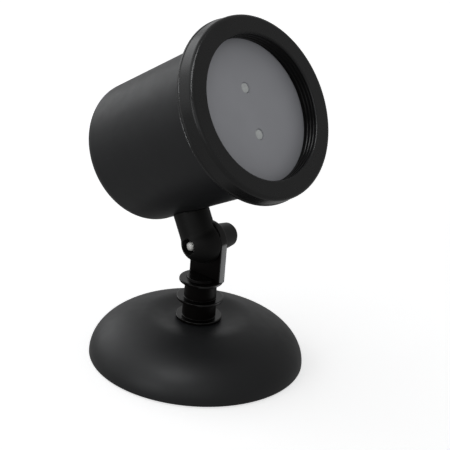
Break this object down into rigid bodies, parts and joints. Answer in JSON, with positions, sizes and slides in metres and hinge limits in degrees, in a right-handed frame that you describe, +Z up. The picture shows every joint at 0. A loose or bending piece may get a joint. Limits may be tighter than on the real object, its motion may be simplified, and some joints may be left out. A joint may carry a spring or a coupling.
{
  "type": "laser light projector",
  "caption": "Cylindrical laser light projector with a recessed two-beam front, on a tilting knuckle clamped by a thumb knob, over a flanged stem and a round domed weighted base.",
  "frame": {"origin": "centre of the anti-slip pad's underside, on the stem's axis, where the base rests", "axes": "+Z up along the stem; +X the way the light leaves, seen from above; +Y the side with the thumb knob"},
  "size_m": [0.1327, 0.125, 0.2045],
  "materials": {
    "satin_black": "satin moulded plastic, very fine grain",
    "gloss_black": "semi-gloss moulded plastic",
    "bezel_black": "satin moulded plastic",
    "knob_black": "matte moulded plastic",
    "panel_grey": "smooth smoked grey plastic",
    "rubber_black": "matte rubber",
    "fibre_brown": "pressed fibre",
    "cast_iron": "rough casting",
    "steel": "zinc plated",
    "brass": "machined",
    "aluminium": "milled",
    "board_green": "solder mask",
    "glass": "clear"
  },
  "bodies": {
    "base": {"anti_slip_pad": "rubber_black", "base_bottom_plate": "satin_black", "base_shell": "satin_black", "base_weight": "cast_iron", "base_screw_1": "steel", "base_screw_2": "steel", "base_screw_3": "steel", "base_screw_4": "steel"},
    "stem": {"stem_post": "gloss_black", "stem_washer": "steel", "stem_screw": "steel"},
    "head": {"neck_knuckle": "satin_black", "neck_screw_1": "steel", "neck_screw_2": "steel", "captive_nut": "steel", "friction_washer": "fibre_brown", "housing_shell": "satin_black", "bezel_ring": "bezel_black", "front_window": "panel_grey", "window_seal": "rubber_black", "aperture_lens_green": "glass", "diffraction_grating_green": "glass", "laser_module_green": "brass", "aperture_lens_red": "glass", "diffraction_grating_red": "glass", "laser_module_red": "brass", "laser_heat_sink": "aluminium", "inner_chassis": "satin_black", "chassis_screw_1": "steel", "chassis_screw_2": "steel", "chassis_screw_3": "steel", "heat_sink_screw_1": "steel", "heat_sink_screw_2": "steel", "driver_board": "board_green", "board_screw_1": "steel", "board_screw_2": "steel", "driver_chip": "rubber_black", "driver_capacitor_1": "aluminium", "driver_capacitor_2": "aluminium", "dc_inlet": "gloss_black", "inlet_seal": "rubber_black", "inlet_nut": "steel"},
    "clamp_washer": {"knob_washer": "steel"},
    "thumb_screw": {"thumb_knob": "knob_black", "thumb_stud": "steel"}
  },
  "joints": [
    {"name": "stem_swivel", "type": "hinge", "parent": "base", "child": "stem", "pos_m": [0, 0, 0.0105], "axis": [0, 0, 1], "continuous": true},
    {"name": "head_tilt", "type": "hinge", "parent": "stem", "child": "head", "pos_m": [0, 0, 0.0717], "axis": [0, 1, 0], "range_deg": [-30.7, 74.3]},
    {"name": "thumb_travel", "type": "slide", "parent": "head", "child": "clamp_washer", "axis": [0, 1, 0], "range_m": [0, 0.00161]},
    {"name": "thumb_turn", "type": "hinge", "parent": "clamp_washer", "child": "thumb_screw", "pos_m": [0, 0, 0.0717], "axis": [0, 1, 0], "range_deg": [0, 720]}
  ],
  "couplings": [
    {"joint": "thumb_travel", "follows": "thumb_turn", "m_per_rad": 0.00012732}
  ]
}
